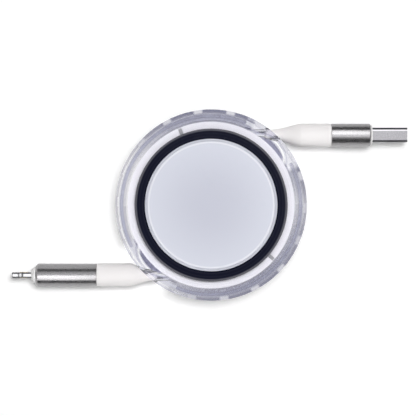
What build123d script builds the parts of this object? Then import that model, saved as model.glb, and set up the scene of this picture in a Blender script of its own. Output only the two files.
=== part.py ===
from build123d import *
import math
import os

os.makedirs("parts", exist_ok=True)

# A two-way retractable charging cable. A clear round case holds a sprung reel, and the
# two ends of one flat cable leave it through opposite outlets, each with its own plug.
# The reel turns about Z, the case stands on Z = 0, the charger plug points along +X
# and the device plug along -X. All sizes are in millimetres.

# Case
case_radius = 30.0
plate_thickness = 2.4
outer_wall = 1.3
core_groove_width = 1.1
inner_wall = 0.7
joint_land = 0.15
groove_end_cover = 1.8
rim_chamfer_width = 0.8
rim_chamfer_drop = 0.35
joint_step = 0.8
joint_gap = 0.1
joint_seam = 0.04
grip_count = 18
grip_turn = 18.0
grip_notch_width = 3.1
grip_notch_reach = 1.2
grip_notch_depth = 0.4

# Trim on both end faces
trim_recess = 1.2
trim_gap = 0.08
ring_radius = 24.0
ring_width = 3.15
ring_height = 0.95
ring_bevel_width = 0.85
ring_bevel_drop = 0.45
disc_height = 1.1
disc_bevel_width = 1.1
disc_bevel_drop = 0.3

# Flat cable
cable_thickness = 1.2
cable_width = 5.0
cable_side_gap = 0.2
lead_bend_reach = 1.6

# Reel
reel_gap = 0.5
coil_inset = 0.25
flange_thickness = 1.2
hub_radius = 16.2
hub_wall = 1.4
hub_seat = 0.3
coil_gap = 0.1
run_gap = 0.2
post_radius = 3.0
post_clearance = 0.08
boss_radius = 6.0
cap_thickness = 1.5
cap_lip_width = 0.7
cap_lip_height = 0.25
cap_slot_width = 1.2
cap_slot_length = 2.3
cap_slot_angles = (112.5, 319.0)
anchor_gap = 0.1
anchor_depth = 0.9

# Ball latch between the reel and the case
ball_diameter = 2.4
ball_gap = 0.05
ball_radius_at_rest = 11.3
ball_travel = 1.8
track_depth = 1.1
track_side_gap = 0.1
lug_count = 4
lug_ramp_angle = 28.0
lug_crest_before = 14.0
lug_crest_after = 18.0
lug_hook_angle = 24.0
latch_block_border = 1.1

# Power spring inside the hub
spring_thickness = 0.4
spring_gap = 0.2
spring_half_turns = 7
spring_start_gap = 0.4
spring_tab_start = 1.35
spring_hook = 1.4

# Centre screw
screw_radius = 1.0
screw_gap = 0.06
screw_head_radius = 2.0
screw_head_depth = 0.8
screw_reach = 6.0

# Outlets
plug_inset = 7.9
outlet_clearance = 0.4
outlet_block_half_angle = 20.5
outlet_pocket_radius = 18.0
outlet_pocket_depth = 0.85
boot_reel_gap = 0.6

# Strain-relief boots
boot_tail_thickness = 2.8
boot_tail_height = 9.0
boot_inset = 0.1
boot_taper_ease = 1.5
boot_taper_power = 3.0
boot_steps = 5

# Charger plug
charger_taper_length = 11.2
charger_boot_length = 9.5
charger_sleeve_length = 12.5
charger_sleeve_height = 15.5
charger_front_chamfer = 0.4
charger_core_lip = 0.4
shell_thickness = 4.5
shell_width = 12.0
shell_wall = 0.3
shell_fillet = 0.6
shell_reach = 11.4
shell_depth = 8.0
shell_gap = 0.05
shell_window_length = 2.4
shell_window_width = 2.0
shell_window_setback = 5.2
shell_window_pitch = 5.0
tongue_thickness = 1.9
tongue_setback = 0.6
tongue_side_gap = 0.35
charger_pin_length = 7.0
charger_pin_width = 1.0
charger_pin_height = 0.12
charger_pin_offsets = (-3.5, -1.0, 1.0, 3.5)
charger_pin_setback = 1.4

# Device plug
device_taper_length = 8.4
device_boot_length = 10.6
device_sleeve_length = 19.3
device_sleeve_height = 10.4
device_sleeve_end = 0.9
device_front_chamfer = 0.7
collar_length = 1.4
collar_thickness = 5.0
collar_height = 8.7
collar_chamfer = 0.9
tab_thickness = 1.7
tab_width = 6.7
tab_reach = 6.1
tab_depth = 6.0
tab_edge_fillet = 0.5
tab_notch_radius = 1.4
tab_notch_depth = 0.3
tab_notch_setback = 2.8
device_pad_count = 8
device_pad_pitch = 0.66
device_pad_width = 0.42
device_pad_length = 2.6
device_pad_height = 0.05
device_pad_setback = 2.4

# Aluminium sleeves on both plugs
sleeve_thickness = 7.1
sleeve_wall = 0.5
sleeve_rear_chamfer = 0.15
core_gap = 0.05

# Heights that follow from the stack on the reel's axis
latch_space = ball_diameter + 2 * ball_gap - track_depth
half_height = cable_width / 2 + cable_side_gap + cap_thickness + latch_space + plate_thickness
case_height = 2 * half_height
cavity_floor = plate_thickness
cavity_ceiling = case_height - plate_thickness
reel_floor_top = half_height - cable_width / 2 - cable_side_gap
reel_floor_bottom = reel_floor_top - flange_thickness
cap_bottom = half_height + cable_width / 2 + cable_side_gap
cap_top = cap_bottom + cap_thickness
ball_height = cap_top - track_depth + ball_gap + ball_diameter / 2
top_recess_floor = case_height - trim_recess

# Radii that follow from the wall and the fits
groove_radius = case_radius - outer_wall - core_groove_width / 2
joint_radius = groove_radius - core_groove_width / 2 - joint_land
cavity_radius = joint_radius - inner_wall
recess_radius = ring_radius + trim_gap
ring_inner_radius = ring_radius - ring_width
disc_radius = ring_inner_radius - trim_gap
reel_radius = cavity_radius - reel_gap
coil_radius = reel_radius - coil_inset
reel_bore = post_radius + post_clearance
hub_inner_radius = hub_radius - hub_wall
coil_inner_radius = hub_radius + coil_gap
screw_hole_radius = screw_radius + screw_gap
ball_radius_locked = ball_radius_at_rest - ball_travel
track_outer_radius = ball_radius_at_rest + ball_diameter / 2 + track_side_gap
track_inner_radius = ball_radius_locked - ball_diameter / 2 - track_side_gap
lug_radius = ball_radius_at_rest - ball_diameter / 2 - track_side_gap
latch_slot_width = ball_diameter + 2 * ball_gap

# Plug stations along X, from the boot's tail beside the reel out to each tip
plug_offset = case_radius - plug_inset
boot_tail = math.sqrt(
    (reel_radius + boot_reel_gap) ** 2 - (plug_offset - boot_tail_thickness / 2) ** 2
)
charger_shoulder = boot_tail + charger_taper_length
charger_sleeve_rear = charger_shoulder + charger_boot_length
charger_sleeve_front = charger_sleeve_rear + charger_sleeve_length
charger_tip = charger_sleeve_front + shell_reach
device_shoulder = boot_tail + device_taper_length
device_sleeve_rear = device_shoulder + device_boot_length
device_sleeve_front = device_sleeve_rear + device_sleeve_length
collar_front = device_sleeve_front + collar_length
device_tip = collar_front + tab_reach
outlet_angle = math.degrees(math.asin(plug_offset / case_radius))
charger_side = 1
device_side = -1


def plug_plane(side, station):
    """Plane across a plug, with its own X along the plug's thickness and Y upwards."""
    origin = (side * station, side * plug_offset, half_height)
    return Plane(origin=origin, x_dir=(0, side, 0), z_dir=(side, 0, 0))


def polar(radius, degrees):
    """Point in the plane of the case at a radius and an angle from +X."""
    angle = math.radians(degrees)
    return (radius * math.cos(angle), radius * math.sin(angle))


def wall_core_sketch(height):
    """Arched slots that hollow the case wall between the two outlet blocks."""
    sweep_angle = 180 - 2 * outlet_block_half_angle
    with BuildSketch(Plane.XY.offset(height)) as cores:
        for first in (outlet_angle, outlet_angle + 180):
            start = first + outlet_block_half_angle
            run = CenterArc((0, 0), groove_radius, start, sweep_angle, mode=Mode.PRIVATE)
            SlotArc(run, core_groove_width)
    return cores.sketch


def outlet_pocket_sketch():
    """Circles that leave a crescent pocket in the wall behind each outlet."""
    pocket_centre = cavity_radius + outlet_pocket_depth - outlet_pocket_radius
    with BuildSketch(Plane.XY.offset(cavity_floor)) as pockets:
        for turn in (outlet_angle, outlet_angle + 180):
            with Locations(polar(pocket_centre, turn)):
                Circle(outlet_pocket_radius)
    return pockets.sketch


def boot_sections(side, taper_length, sleeve_height, clearance=0):
    """Sections of a strain relief that swells from its tail to the size of its sleeve."""
    full_thickness = sleeve_thickness - boot_inset
    full_height = sleeve_height - boot_inset
    sections = []
    for step in range(boot_steps + 1):
        share = step / boot_steps
        swell = (1 - (1 - share) ** boot_taper_ease) ** boot_taper_power
        height = boot_tail_height + (full_height - boot_tail_height) * swell
        thickness = boot_tail_thickness + (full_thickness - boot_tail_thickness) * swell
        with BuildSketch(plug_plane(side, boot_tail + share * taper_length)) as section:
            SlotOverall(height + 2 * clearance, thickness + 2 * clearance, rotation=90)
        sections.append(section.sketch)
    return sections


def charger_boot_sections(clearance=0):
    """Taper of the charger plug's boot, or the mouth that it parks in."""
    return boot_sections(
        charger_side,
        charger_taper_length,
        charger_sleeve_height,
        clearance,
    )


def device_boot_sections(clearance=0):
    """Taper of the device plug's boot, or the mouth that it parks in."""
    return boot_sections(
        device_side,
        device_taper_length,
        device_sleeve_height,
        clearance,
    )


def grip_notch_sketch(height):
    """Short notches spaced round the rim of the case for the fingers to hold."""
    with BuildSketch(Plane.XY.offset(height)) as notches:
        with PolarLocations(case_radius, grip_count, start_angle=grip_turn):
            Rectangle(2 * grip_notch_reach, grip_notch_width)
    return notches.sketch


# Lower half of the clear case, with the post that the reel turns on
with BuildPart() as case_bottom:
    with BuildSketch(Plane.XZ):
        with BuildLine():
            Polyline(
                (0, trim_recess),
                (recess_radius, trim_recess),
                (recess_radius, 0),
                (case_radius - rim_chamfer_width, 0),
                (case_radius, rim_chamfer_drop),
                (case_radius, half_height),
                (joint_radius, half_height),
                (joint_radius, half_height + joint_step),
                (cavity_radius, half_height + joint_step),
                (cavity_radius, cavity_floor),
                (0, cavity_floor),
                close=True,
            )
        make_face()
    revolve(axis=Axis.Z)
    extrude(grip_notch_sketch(0), amount=grip_notch_depth, mode=Mode.SUBTRACT)
    extrude(wall_core_sketch(groove_end_cover), amount=half_height, mode=Mode.SUBTRACT)
    extrude(
        outlet_pocket_sketch(), amount=cavity_ceiling - cavity_floor, mode=Mode.SUBTRACT
    )
    for boot_mouth in (charger_boot_sections, device_boot_sections):
        mouth = boot_mouth(outlet_clearance)
        extrude(mouth[0], amount=-boot_tail, mode=Mode.SUBTRACT)
        loft(mouth, ruled=True, mode=Mode.SUBTRACT)
    with BuildSketch(Plane.XY.offset(cavity_floor)):
        Circle(post_radius)
    extrude(amount=cavity_ceiling - cavity_floor)
    with BuildSketch(Plane.XY.offset(cavity_ceiling)):
        Circle(screw_hole_radius)
    extrude(amount=-screw_reach, mode=Mode.SUBTRACT)
    with BuildSketch(Plane.XY.offset(cavity_ceiling)):
        Rectangle(2 * post_radius + 1, spring_thickness + 2 * spring_gap)
    extrude(amount=reel_floor_top - cavity_ceiling, mode=Mode.SUBTRACT)
case_bottom.part.label = "case_bottom"
export_step(case_bottom.part, "parts/case_bottom.step")

# Upper half of the clear case, with the slotted block that guides the latch ball
with BuildPart() as case_top:
    with BuildSketch(Plane.XZ):
        with BuildLine():
            Polyline(
                (screw_hole_radius, cavity_ceiling),
                (screw_hole_radius, top_recess_floor - screw_head_depth),
                (screw_head_radius + screw_gap, top_recess_floor),
                (recess_radius, top_recess_floor),
                (recess_radius, case_height),
                (case_radius - rim_chamfer_width, case_height),
                (case_radius, case_height - rim_chamfer_drop),
                (case_radius, half_height + joint_seam),
                (joint_radius + joint_seam, half_height + joint_seam),
                (joint_radius + joint_seam, half_height + joint_step + joint_gap),
                (cavity_radius, half_height + joint_step + joint_gap),
                (cavity_radius, cavity_ceiling),
                close=True,
            )
        make_face()
    revolve(axis=Axis.Z)
    extrude(grip_notch_sketch(case_height), amount=-grip_notch_depth, mode=Mode.SUBTRACT)
    core_top = case_height - groove_end_cover
    extrude(wall_core_sketch(core_top), amount=-half_height, mode=Mode.SUBTRACT)
    extrude(
        outlet_pocket_sketch(), amount=cavity_ceiling - cavity_floor, mode=Mode.SUBTRACT
    )
    for boot_mouth in (charger_boot_sections, device_boot_sections):
        mouth = boot_mouth(outlet_clearance)
        extrude(mouth[0], amount=-boot_tail, mode=Mode.SUBTRACT)
        loft(mouth, ruled=True, mode=Mode.SUBTRACT)
    latch_middle = ball_radius_at_rest - ball_travel / 2
    latch_slot_length = ball_travel + latch_slot_width
    with BuildSketch(Plane.XY.offset(cavity_ceiling)):
        with Locations((latch_middle, 0)):
            SlotOverall(
                latch_slot_length + 2 * latch_block_border,
                latch_slot_width + 2 * latch_block_border,
            )
            SlotOverall(latch_slot_length, latch_slot_width, mode=Mode.SUBTRACT)
    extrude(amount=cap_top + run_gap - cavity_ceiling)
case_top.part.label = "case_top"
export_step(case_top.part, "parts/case_top.step")

# Black trim rings and white discs with bevelled rims, set into both end faces
trim_faces = (("top", top_recess_floor, 1), ("bottom", trim_recess, -1))
for face_name, seat, outward in trim_faces:
    with BuildPart() as ring:
        with BuildSketch(Plane.XZ.shift_origin((0, 0, seat))):
            with BuildLine():
                Polyline(
                    (ring_inner_radius, 0),
                    (ring_radius, 0),
                    (ring_radius, outward * (ring_height - ring_bevel_drop)),
                    (ring_radius - ring_bevel_width, outward * ring_height),
                    (ring_inner_radius, outward * ring_height),
                    close=True,
                )
            make_face()
        revolve(axis=Axis.Z)
    ring.part.label = face_name + "_ring"
    export_step(ring.part, "parts/" + face_name + "_ring.step")

    with BuildPart() as disc:
        with BuildSketch(Plane.XZ.shift_origin((0, 0, seat))):
            with BuildLine():
                Polyline(
                    (0, 0),
                    (disc_radius, 0),
                    (disc_radius, outward * (disc_height - disc_bevel_drop)),
                    (disc_radius - disc_bevel_width, outward * disc_height),
                    (0, outward * disc_height),
                    close=True,
                )
            make_face()
        revolve(axis=Axis.Z)
    disc.part.label = face_name + "_disc"
    export_step(disc.part, "parts/" + face_name + "_disc.step")

# Countersunk screw that closes the case on its post
with BuildPart() as centre_screw:
    with BuildSketch(Plane.XZ):
        with BuildLine():
            screw_tip = cavity_ceiling - screw_reach + run_gap
            Polyline(
                (0, top_recess_floor),
                (screw_head_radius, top_recess_floor),
                (screw_radius, top_recess_floor - screw_head_depth),
                (screw_radius, screw_tip),
                (0, screw_tip),
                close=True,
            )
        make_face()
    revolve(axis=Axis.Z)
centre_screw.part.label = "centre_screw"
export_step(centre_screw.part, "parts/centre_screw.step")

# Reel: lower flange, hub and the boss that it turns on
anchor_width = 2 * cable_thickness
with BuildPart() as reel:
    with BuildSketch(Plane.XZ):
        with BuildLine():
            Polyline(
                (reel_bore, cavity_floor + run_gap),
                (boss_radius, cavity_floor + run_gap),
                (boss_radius, reel_floor_bottom),
                (reel_radius, reel_floor_bottom),
                (reel_radius, reel_floor_top),
                (hub_radius, reel_floor_top),
                (hub_radius, cap_bottom + hub_seat),
                (hub_inner_radius, cap_bottom + hub_seat),
                (hub_inner_radius, reel_floor_top),
                (reel_bore, reel_floor_top),
                close=True,
            )
        make_face()
    revolve(axis=Axis.Z)
    with BuildSketch(Plane.XY.offset(reel_floor_top)):
        with Locations((-hub_radius, 0)):
            Rectangle(4 * hub_wall, spring_thickness + 2 * spring_gap)
        with Locations((0, hub_radius)):
            Rectangle(anchor_width + 2 * anchor_gap, 2 * (anchor_depth + anchor_gap))
    extrude(amount=cap_bottom + hub_seat - reel_floor_top, mode=Mode.SUBTRACT)
reel.part.label = "reel"
export_step(reel.part, "parts/reel.step")

# Reel cap: upper flange with the latch track on top and two slots through its rim
with BuildPart() as reel_cap:
    with BuildSketch(Plane.XZ):
        with BuildLine():
            Polyline(
                (reel_bore, cap_bottom),
                (hub_inner_radius - coil_gap, cap_bottom),
                (hub_inner_radius - coil_gap, cap_bottom + hub_seat),
                (hub_radius + coil_gap, cap_bottom + hub_seat),
                (hub_radius + coil_gap, cap_bottom),
                (reel_radius, cap_bottom),
                (reel_radius, cap_top + cap_lip_height),
                (reel_radius - cap_lip_width, cap_top + cap_lip_height),
                (reel_radius - cap_lip_width, cap_top),
                (reel_bore, cap_top),
                close=True,
            )
        make_face()
    revolve(axis=Axis.Z)
    with BuildSketch(Plane.XY.offset(cap_top)):
        Circle(track_outer_radius)
        Circle(track_inner_radius, mode=Mode.SUBTRACT)
        for lug in range(lug_count):
            middle = (lug + 0.5) * 360 / lug_count
            with BuildLine():
                Polyline(
                    polar(track_inner_radius - track_side_gap, middle - lug_ramp_angle),
                    polar(lug_radius, middle - lug_crest_before),
                    polar(lug_radius, middle + lug_crest_after),
                    polar(track_inner_radius - track_side_gap, middle + lug_hook_angle),
                    close=True,
                )
            make_face(mode=Mode.SUBTRACT)
    extrude(amount=-track_depth, mode=Mode.SUBTRACT)
    with BuildSketch(Plane.XY.offset(cap_bottom)):
        for angle in cap_slot_angles:
            with Locations(Location((*polar(reel_radius, angle), 0), angle)):
                Rectangle(2 * cap_slot_length, cap_slot_width)
    extrude(amount=cap_thickness + cap_lip_height, mode=Mode.SUBTRACT)
reel_cap.part.label = "reel_cap"
export_step(reel_cap.part, "parts/reel_cap.step")

# Where each lead leaves the wound cable on its way to the boot
lead_corner = (boot_tail - lead_bend_reach, plug_offset)
lead_radius = coil_radius - cable_thickness / 2
corner_radius = math.hypot(*lead_corner)
corner_angle = math.degrees(math.atan2(lead_corner[1], lead_corner[0]))
lead_angle = corner_angle + math.degrees(math.acos(lead_radius / corner_radius))
lead_turn = math.radians(90 - lead_angle)
lead_bend_radius = 0.9 * lead_bend_reach / math.tan(abs(lead_turn) / 2)

# The wound cable: both halves side by side, so the outside steps in twice a turn,
# with the folded middle of the cable held in a notch of the hub
with BuildPart() as cable_coil:
    with BuildSketch(Plane.XY.offset(half_height - cable_width / 2)):
        with BuildLine():
            for start in (lead_angle, lead_angle + 180):
                CenterArc(polar(cable_thickness / 2, start), lead_radius, start, 180)
                inner_end = polar(coil_radius - cable_thickness, start + 180)
                Line(inner_end, polar(coil_radius, start + 180))
        make_face()
        Circle(coil_inner_radius, mode=Mode.SUBTRACT)
        with Locations((0, hub_radius + cable_thickness / 2)):
            Rectangle(anchor_width, 2 * anchor_depth + cable_thickness)
    extrude(amount=cable_width)
cable_coil.part.label = "cable_coil"
export_step(cable_coil.part, "parts/cable_coil.step")

# Power spring: a flat strip wound between the slotted post and a notch in the hub
spring_start = post_radius + spring_start_gap + spring_thickness / 2
spring_end = hub_inner_radius - spring_gap - spring_thickness / 2
spring_growth = (spring_end - spring_start) / spring_half_turns
with BuildPart() as power_spring:
    with BuildSketch(Plane.XY.offset(reel_floor_top + spring_gap)):
        for half_turn in range(spring_half_turns):
            upper = half_turn % 2 == 0
            centre = -spring_growth / 2 if upper else spring_growth / 2
            middle_radius = spring_start + spring_growth / 2 + half_turn * spring_growth
            with BuildLine():
                start = 0 if upper else 180
                outer = middle_radius + spring_thickness / 2
                inner = middle_radius - spring_thickness / 2
                outside = CenterArc((centre, 0), outer, start, 180)
                inside = CenterArc((centre, 0), inner, start, 180)
                Line(outside @ 0, inside @ 0)
                Line(outside @ 1, inside @ 1)
            make_face()
        tab_length = spring_start + spring_thickness / 2 - spring_tab_start
        with Locations((spring_tab_start + tab_length / 2, 0)):
            Rectangle(tab_length, spring_thickness)
        hook_length = spring_hook + spring_thickness
        with Locations((-spring_end + spring_thickness / 2 - hook_length / 2, 0)):
            Rectangle(hook_length, spring_thickness)
    extrude(amount=cap_bottom - reel_floor_top - 2 * spring_gap)
power_spring.part.label = "power_spring"
export_step(power_spring.part, "parts/power_spring.step")

# Steel ball of the latch, resting in the free lane of the track
with BuildPart() as latch_ball:
    with Locations((ball_radius_at_rest, 0, ball_height)):
        Sphere(ball_diameter / 2)
latch_ball.part.label = "latch_ball"
export_step(latch_ball.part, "parts/latch_ball.step")

# Flat leads from the coil to each boot
for side, lead_name in ((charger_side, "charger_lead"), (device_side, "device_lead")):
    lead_start = polar(side * lead_radius, lead_angle)
    lead_bend = (side * lead_corner[0], side * lead_corner[1])
    lead_end = (side * boot_tail, side * plug_offset)
    along = (lead_bend[0] - lead_start[0], lead_bend[1] - lead_start[1], 0)
    with BuildPart() as lead:
        with BuildLine(Plane.XY.offset(half_height)):
            FilletPolyline(lead_start, lead_bend, lead_end, radius=lead_bend_radius)
        with BuildSketch(Plane((*lead_start, half_height), x_dir=(0, 0, 1), z_dir=along)):
            Rectangle(cable_width, cable_thickness)
        sweep()
    lead.part.label = lead_name
    export_step(lead.part, "parts/" + lead_name + ".step")


# Charger plug: boot, aluminium sleeve, moulded core, steel shell, tongue and contacts
with BuildPart() as charger_boot:
    charger_boot_taper = charger_boot_sections()
    loft(charger_boot_taper, ruled=True)
    extrude(charger_boot_taper[-1], amount=charger_boot_length)
charger_boot.part.label = "charger_boot"
export_step(charger_boot.part, "parts/charger_boot.step")

with BuildPart() as charger_sleeve:
    with BuildSketch(plug_plane(charger_side, charger_sleeve_rear)):
        SlotOverall(charger_sleeve_height, sleeve_thickness, rotation=90)
        SlotOverall(
            charger_sleeve_height - 2 * sleeve_wall,
            sleeve_thickness - 2 * sleeve_wall,
            rotation=90,
            mode=Mode.SUBTRACT,
        )
    extrude(amount=charger_sleeve_length)
    front_loops = charger_sleeve.faces().sort_by(Axis.X)[-1]
    chamfer(front_loops.outer_wire().edges(), length=charger_front_chamfer)
    rear_loops = charger_sleeve.faces().sort_by(Axis.X)[0]
    chamfer(rear_loops.outer_wire().edges(), length=sleeve_rear_chamfer)
charger_sleeve.part.label = "charger_sleeve"
export_step(charger_sleeve.part, "parts/charger_sleeve.step")

shell_rear = charger_sleeve_front - shell_depth
with BuildPart() as charger_core:
    with BuildSketch(plug_plane(charger_side, charger_sleeve_rear)):
        SlotOverall(
            charger_sleeve_height - 2 * (sleeve_wall + core_gap),
            sleeve_thickness - 2 * (sleeve_wall + core_gap),
            rotation=90,
        )
    extrude(amount=charger_sleeve_length + charger_core_lip)
    with BuildSketch(plug_plane(charger_side, shell_rear)):
        RectangleRounded(
            shell_thickness + 2 * shell_gap, shell_width + 2 * shell_gap, shell_fillet
        )
    extrude(amount=2 * shell_depth, mode=Mode.SUBTRACT)
charger_core.part.label = "charger_core"
export_step(charger_core.part, "parts/charger_core.step")

with BuildPart() as charger_shell:
    with BuildSketch(plug_plane(charger_side, shell_rear)):
        RectangleRounded(shell_thickness, shell_width, shell_fillet)
        RectangleRounded(
            shell_thickness - 2 * shell_wall,
            shell_width - 2 * shell_wall,
            shell_fillet - shell_wall,
            mode=Mode.SUBTRACT,
        )
    extrude(amount=charger_tip - shell_rear)
    window_station = charger_tip - shell_window_setback
    with BuildSketch(Plane.XZ.offset(-plug_offset)):
        with Locations((window_station, half_height)):
            with GridLocations(1, shell_window_pitch, 1, 2):
                Rectangle(shell_window_length, shell_window_width)
    extrude(amount=shell_thickness, both=True, mode=Mode.SUBTRACT)
charger_shell.part.label = "charger_shell"
export_step(charger_shell.part, "parts/charger_shell.step")

tongue_middle = (shell_thickness - tongue_thickness) / 2 - shell_wall
with BuildPart() as charger_tongue:
    with BuildSketch(plug_plane(charger_side, shell_rear)):
        with Locations((tongue_middle, 0)):
            Rectangle(tongue_thickness, shell_width - 2 * (shell_wall + tongue_side_gap))
    extrude(amount=charger_tip - tongue_setback - shell_rear)
charger_tongue.part.label = "charger_tongue"
export_step(charger_tongue.part, "parts/charger_tongue.step")

with BuildPart() as charger_contacts:
    contact_face = tongue_middle - tongue_thickness / 2
    contact_front = charger_tip - tongue_setback - charger_pin_setback
    with BuildSketch(plug_plane(charger_side, contact_front - charger_pin_length)):
        for pin_offset in charger_pin_offsets:
            with Locations((contact_face - charger_pin_height / 2, pin_offset)):
                Rectangle(charger_pin_height, charger_pin_width)
    extrude(amount=charger_pin_length)
charger_contacts.part.label = "charger_contacts"
export_step(charger_contacts.part, "parts/charger_contacts.step")

# Device plug: boot, aluminium sleeve, moulded core with its collar, tab and contacts
with BuildPart() as device_boot:
    device_boot_taper = device_boot_sections()
    loft(device_boot_taper, ruled=True)
    extrude(device_boot_taper[-1], amount=device_boot_length)
device_boot.part.label = "device_boot"
export_step(device_boot.part, "parts/device_boot.step")

with BuildPart() as device_sleeve:
    with BuildSketch(plug_plane(device_side, device_sleeve_rear)):
        SlotOverall(device_sleeve_height, sleeve_thickness, rotation=90)
    extrude(amount=device_sleeve_length)
    front_face = device_sleeve.faces().sort_by(Axis.X)[0]
    chamfer(front_face.edges(), length=device_front_chamfer)
    rear_face = device_sleeve.faces().sort_by(Axis.X)[-1]
    chamfer(rear_face.edges(), length=sleeve_rear_chamfer)
    with BuildSketch(plug_plane(device_side, device_sleeve_rear)):
        SlotOverall(
            device_sleeve_height - 2 * sleeve_wall,
            sleeve_thickness - 2 * sleeve_wall,
            rotation=90,
        )
    extrude(amount=device_sleeve_length - device_sleeve_end, mode=Mode.SUBTRACT)
    with BuildSketch(plug_plane(device_side, device_sleeve_rear)):
        SlotOverall(
            collar_height + 2 * core_gap, collar_thickness + 2 * core_gap, rotation=90
        )
    extrude(amount=device_sleeve_length, mode=Mode.SUBTRACT)
device_sleeve.part.label = "device_sleeve"
export_step(device_sleeve.part, "parts/device_sleeve.step")

tab_rear = collar_front - tab_depth
with BuildPart() as device_core:
    with BuildSketch(plug_plane(device_side, device_sleeve_rear)):
        SlotOverall(
            device_sleeve_height - 2 * (sleeve_wall + core_gap),
            sleeve_thickness - 2 * (sleeve_wall + core_gap),
            rotation=90,
        )
    extrude(amount=device_sleeve_length - device_sleeve_end - core_gap)
    with BuildSketch(plug_plane(device_side, device_sleeve_rear)):
        SlotOverall(collar_height, collar_thickness, rotation=90)
    extrude(amount=device_sleeve_length + collar_length)
    collar_face = device_core.faces().sort_by(Axis.X)[0]
    chamfer(collar_face.edges(), length=collar_chamfer)
    with BuildSketch(plug_plane(device_side, tab_rear)):
        Rectangle(tab_thickness + 2 * core_gap, tab_width + 2 * core_gap)
    extrude(amount=tab_depth, mode=Mode.SUBTRACT)
device_core.part.label = "device_core"
export_step(device_core.part, "parts/device_core.step")

with BuildPart() as device_tab:
    with BuildSketch(plug_plane(device_side, tab_rear)):
        RectangleRounded(tab_thickness, tab_width, tab_edge_fillet)
    extrude(amount=device_tip - tab_rear)
    nose = device_tab.faces().sort_by(Axis.X)[0]
    fillet(nose.edges(), radius=0.8 * tab_edge_fillet)
    notch_middle = tab_width / 2 + tab_notch_radius - tab_notch_depth
    with BuildSketch(Plane.XZ.offset(plug_offset)):
        with Locations((-device_tip + tab_notch_setback, half_height)):
            with GridLocations(1, 2 * notch_middle, 1, 2):
                Circle(tab_notch_radius)
    extrude(amount=tab_thickness, both=True, mode=Mode.SUBTRACT)
device_tab.part.label = "device_tab"
export_step(device_tab.part, "parts/device_tab.step")

with BuildPart() as device_contacts:
    for face_side in (1, -1):
        pad_level = face_side * (tab_thickness / 2 + device_pad_height / 2)
        with BuildSketch(plug_plane(device_side, device_tip - device_pad_setback)):
            with Locations((pad_level, 0)):
                with GridLocations(1, device_pad_pitch, 1, device_pad_count):
                    Rectangle(device_pad_height, device_pad_width)
        extrude(amount=-device_pad_length)
device_contacts.part.label = "device_contacts"
export_step(device_contacts.part, "parts/device_contacts.step")
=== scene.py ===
"""Dress a two-way retractable charging cable: fine pieces, finishes, light and camera."""

import logging
import math
from collections.abc import Callable, Iterator
from contextlib import contextmanager
from dataclasses import dataclass
from enum import Enum, auto
from functools import cache, reduce

import bmesh
import bpy
from mathutils import Matrix, Vector


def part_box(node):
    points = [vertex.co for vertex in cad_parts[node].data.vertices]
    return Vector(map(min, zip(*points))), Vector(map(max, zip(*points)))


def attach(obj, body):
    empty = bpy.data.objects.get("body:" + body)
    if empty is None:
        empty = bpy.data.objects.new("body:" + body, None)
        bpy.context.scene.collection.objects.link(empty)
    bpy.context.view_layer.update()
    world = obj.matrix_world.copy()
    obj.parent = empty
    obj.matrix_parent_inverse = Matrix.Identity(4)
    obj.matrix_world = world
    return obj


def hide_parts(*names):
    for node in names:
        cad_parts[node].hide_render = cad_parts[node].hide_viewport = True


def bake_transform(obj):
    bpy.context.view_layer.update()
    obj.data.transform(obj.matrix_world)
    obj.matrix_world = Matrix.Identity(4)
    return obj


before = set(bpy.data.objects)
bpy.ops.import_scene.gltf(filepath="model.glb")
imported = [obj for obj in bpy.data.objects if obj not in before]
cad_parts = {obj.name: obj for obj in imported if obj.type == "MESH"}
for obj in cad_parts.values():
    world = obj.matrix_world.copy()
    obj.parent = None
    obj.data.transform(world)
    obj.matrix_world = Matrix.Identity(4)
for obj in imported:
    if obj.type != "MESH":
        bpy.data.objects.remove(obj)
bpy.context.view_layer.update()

MM = 0.001
PLUG_OFFSET = 22.1 * MM
HALF_HEIGHT = 8.0 * MM
TOUCH = 0.001 * MM
JACKET_ROUND = 0.3
CLIP_ANGLES = (112.5, 319.0)
log = logging.getLogger("charging_cable")

Colour = tuple[float, float, float]
Point = tuple[float, float, float]
Span = tuple[float, float]
Band = tuple[float, float, float]
Section = tuple[float, float, float]
PlaceTest = Callable[[Vector], bool]
Piece = bpy.types.Object
Finish = bpy.types.Material
Node = bpy.types.Node
Socket = bpy.types.NodeSocket
Sockets = bpy.types.bpy_prop_collection
Tree = bpy.types.NodeTree


class Body(Enum):
    """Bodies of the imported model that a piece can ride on."""

    CASE = "case"
    REEL = "reel"
    CHARGER = "charger_plug"
    DEVICE = "device_plug"


class Slot(Enum):
    """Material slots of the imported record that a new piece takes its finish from."""

    DISC = "white_disc"
    RING = "black_ring"
    CABLE = "white_cable"
    BOOT = "white_boot"
    REEL = "white_reel"


class Side(Enum):
    """Which way a plug points along X, and so which outlet it uses."""

    CHARGER = 1
    DEVICE = -1


class Face(Enum):
    """The two end faces of the case, each with the way that it looks along Z."""

    TOP = 1
    BOTTOM = -1


class Role(Enum):
    """What a lamp is for: light on the object, or a card that shows in its shine."""

    LIGHT = auto()
    CARD = auto()


class Element(Enum):
    """What an edit-mode selection picks."""

    VERT = "VERT"
    EDGE = "EDGE"
    FACE = "FACE"


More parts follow.
